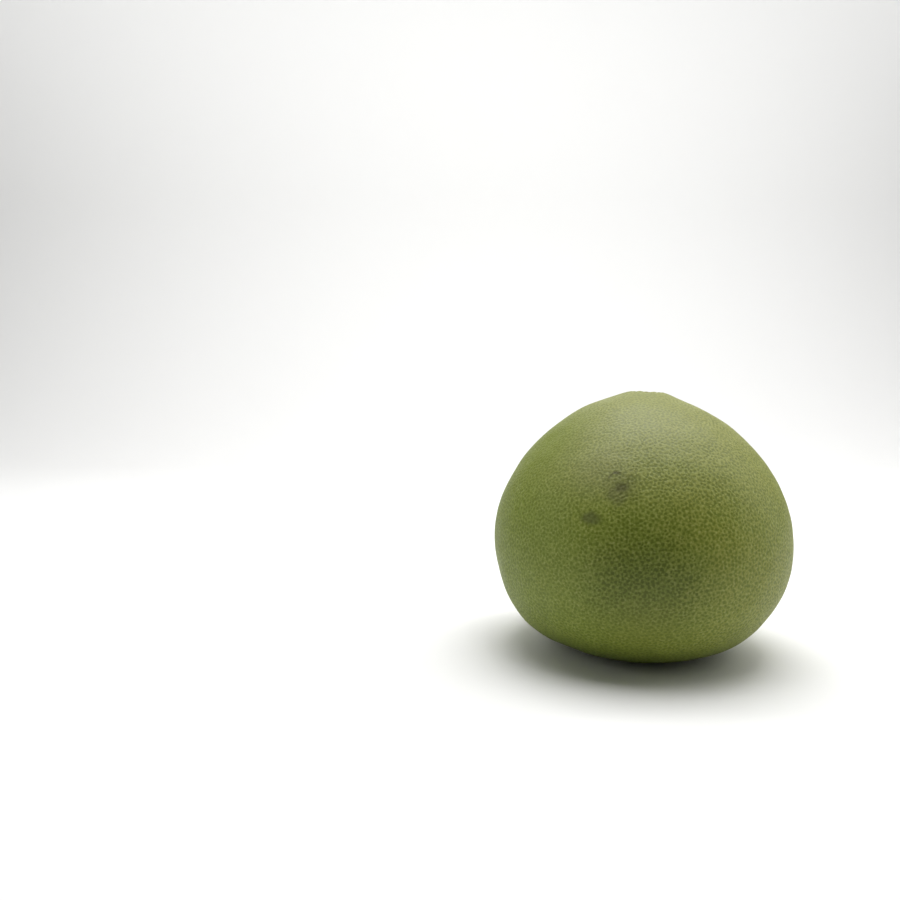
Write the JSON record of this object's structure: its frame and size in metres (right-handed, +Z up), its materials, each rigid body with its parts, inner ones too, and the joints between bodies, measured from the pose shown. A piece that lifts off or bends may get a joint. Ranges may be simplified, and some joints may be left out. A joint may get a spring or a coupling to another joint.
{
  "type": "pomelo",
  "caption": "A whole pomelo that rests on its blossom end: squat pear form, pitted green rind, shallow stem hollow with a dried calyx and a clipped stub of stalk",
  "frame": {"origin": "on the table, under the middle of the fruit's box, at the level of the flat spot it rests on", "axes": "+Z up through the fruit to its stem end, -Y towards the front that the picture shows, +X to the picture's right"},
  "size_m": [0.1714, 0.1714, 0.1517],
  "materials": {
    "rind": "waxy yellow-green citrus rind with fine dark oil-gland pits and a soft sheen",
    "calyx": "dry brown calyx and cut stalk, matte"
  },
  "bodies": {
    "root": {"fruit": "rind", "stem_button": "calyx"}
  },
  "joints": []
}
